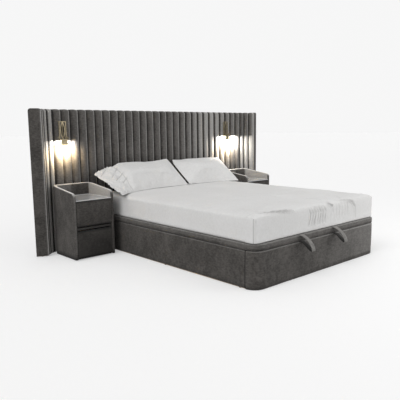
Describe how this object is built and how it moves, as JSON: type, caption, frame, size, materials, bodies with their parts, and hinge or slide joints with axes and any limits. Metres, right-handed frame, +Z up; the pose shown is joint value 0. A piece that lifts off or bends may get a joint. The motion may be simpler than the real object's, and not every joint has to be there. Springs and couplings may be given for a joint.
{
  "type": "bed with attached nightstands",
  "caption": "Upholstered storage bed with a winged, channel-tufted headboard, lift-up mattress lid, attached nightstands with drawers, wall lights and pillows.",
  "frame": {"origin": "on the floor, under the centre of the overall box", "axes": "+Z up, +Y towards the headboard, +X to the right seen from the foot end"},
  "size_m": [2.9608, 2.315, 1.322],
  "materials": {
    "velvet": "short-pile upholstery fabric",
    "plywood": "raw",
    "oak_board": "melamine-faced board",
    "zinc_steel": "zinc plated",
    "black_steel": "satin black",
    "chrome_rod": "polished",
    "glide_plastic": "matt",
    "white_cotton": "woven cotton",
    "grey_lacquer": "gloss",
    "brass": "brushed",
    "diffuser": "opal"
  },
  "bodies": {
    "frame": {"headboard_core": "plywood", "wing_core_left": "plywood", "wing_core_right": "plywood", "headboard_channels": "velvet", "wing_channels_left": "velvet", "wing_channels_right": "velvet", "end_pad_left": "velvet", "end_pad_right": "velvet", "headboard_back_cover": "velvet", "joining_hardware": "zinc_steel", "floor_glides": "glide_plastic", "side_rail_left": "plywood", "side_rail_right": "plywood", "foot_panel": "plywood", "head_panel": "plywood", "side_cover_left": "velvet", "side_cover_right": "velvet", "foot_cover": "velvet", "storage_floor": "plywood", "lift_bracket_left": "zinc_steel", "lift_bracket_right": "zinc_steel", "stand_shell_left": "velvet", "stand_shell_right": "velvet", "carcass_left": "oak_board", "carcass_right": "oak_board", "tray_left": "grey_lacquer", "tray_right": "grey_lacquer", "runners_left": "zinc_steel", "runners_right": "zinc_steel", "lamp_frame_left": "brass", "lamp_frame_right": "brass", "lamp_light_left": "diffuser", "lamp_light_right": "diffuser"},
    "lid": {"lid_battens": "plywood", "lid_board": "plywood", "lid_cover": "velvet", "pull_strap_left": "velvet", "pull_strap_right": "velvet", "lid_brackets": "zinc_steel", "mattress": "white_cotton"},
    "pillows": {"pillow_left": "white_cotton", "pillow_right": "white_cotton"},
    "rear_arms": {"rear_arm_left": "zinc_steel", "rear_arm_right": "zinc_steel"},
    "front_arms": {"front_arm_left": "zinc_steel", "front_arm_right": "zinc_steel"},
    "gas_cylinders": {"gas_cylinder_left": "black_steel", "gas_cylinder_right": "black_steel"},
    "gas_rods": {"gas_rod_left": "chrome_rod", "gas_rod_right": "chrome_rod"},
    "upper_drawer_left": {"upper_front_left": "velvet", "upper_box_left": "oak_board"},
    "lower_drawer_left": {"lower_front_left": "velvet", "lower_box_left": "oak_board"},
    "dimmer_left": {"lamp_knob_left": "brass"},
    "upper_drawer_right": {"upper_front_right": "velvet", "upper_box_right": "oak_board"},
    "lower_drawer_right": {"lower_front_right": "velvet", "lower_box_right": "oak_board"},
    "dimmer_right": {"lamp_knob_right": "brass"}
  },
  "joints": [
    {"name": "arm_swing", "type": "hinge", "parent": "frame", "child": "rear_arms", "pos_m": [0, 0.1475, 0.1], "axis": [1, 0, 0], "range_deg": [0, 45]},
    {"name": "lid_tilt", "type": "hinge", "parent": "rear_arms", "child": "lid", "pos_m": [0, 0.57788, 0.19148], "axis": [1, 0, 0], "range_deg": [-79.01, 0]},
    {"name": "front_arm_swing", "type": "hinge", "parent": "frame", "child": "front_arms", "pos_m": [0, -0.1802, 0.0937], "axis": [1, 0, 0], "range_deg": [0, 34.71]},
    {"name": "strut_swing", "type": "hinge", "parent": "frame", "child": "gas_cylinders", "pos_m": [0, 0.4575, 0.08], "axis": [1, 0, 0], "range_deg": [0, 8.21]},
    {"name": "strut_stroke", "type": "slide", "parent": "gas_cylinders", "child": "gas_rods", "axis": [0, -0.9023, 0.4312], "range_m": [0, 0.0765]},
    {"name": "pillow_slide", "type": "slide", "parent": "lid", "child": "pillows", "axis": [0, -1, 0], "range_m": [0, 0.1336]},
    {"name": "upper_drawer_left_slide", "type": "slide", "parent": "frame", "child": "upper_drawer_left", "axis": [0, -1, 0], "range_m": [0, 0.3]},
    {"name": "lower_drawer_left_slide", "type": "slide", "parent": "frame", "child": "lower_drawer_left", "axis": [0, -1, 0], "range_m": [0, 0.3]},
    {"name": "upper_drawer_right_slide", "type": "slide", "parent": "frame", "child": "upper_drawer_right", "axis": [0, -1, 0], "range_m": [0, 0.3]},
    {"name": "lower_drawer_right_slide", "type": "slide", "parent": "frame", "child": "lower_drawer_right", "axis": [0, -1, 0], "range_m": [0, 0.3]},
    {"name": "dimmer_left_turn", "type": "hinge", "parent": "frame", "child": "dimmer_left", "pos_m": [-1.115, 1.0075, 1.062], "axis": [0, 1, 0], "range_deg": [0, 270]},
    {"name": "dimmer_right_turn", "type": "hinge", "parent": "frame", "child": "dimmer_right", "pos_m": [0.997, 1.0075, 1.062], "axis": [0, 1, 0], "range_deg": [0, 270]}
  ],
  "couplings": [
    {"joint": "lid_tilt", "follows": "arm_swing", "ratio": -1.7556},
    {"joint": "front_arm_swing", "follows": "arm_swing", "ratio": 0.7712},
    {"joint": "strut_swing", "follows": "arm_swing", "ratio": 0.1822},
    {"joint": "strut_stroke", "follows": "arm_swing", "m_per_rad": 0.0973},
    {"joint": "pillow_slide", "follows": "arm_swing", "m_per_rad": 0.17}
  ]
}
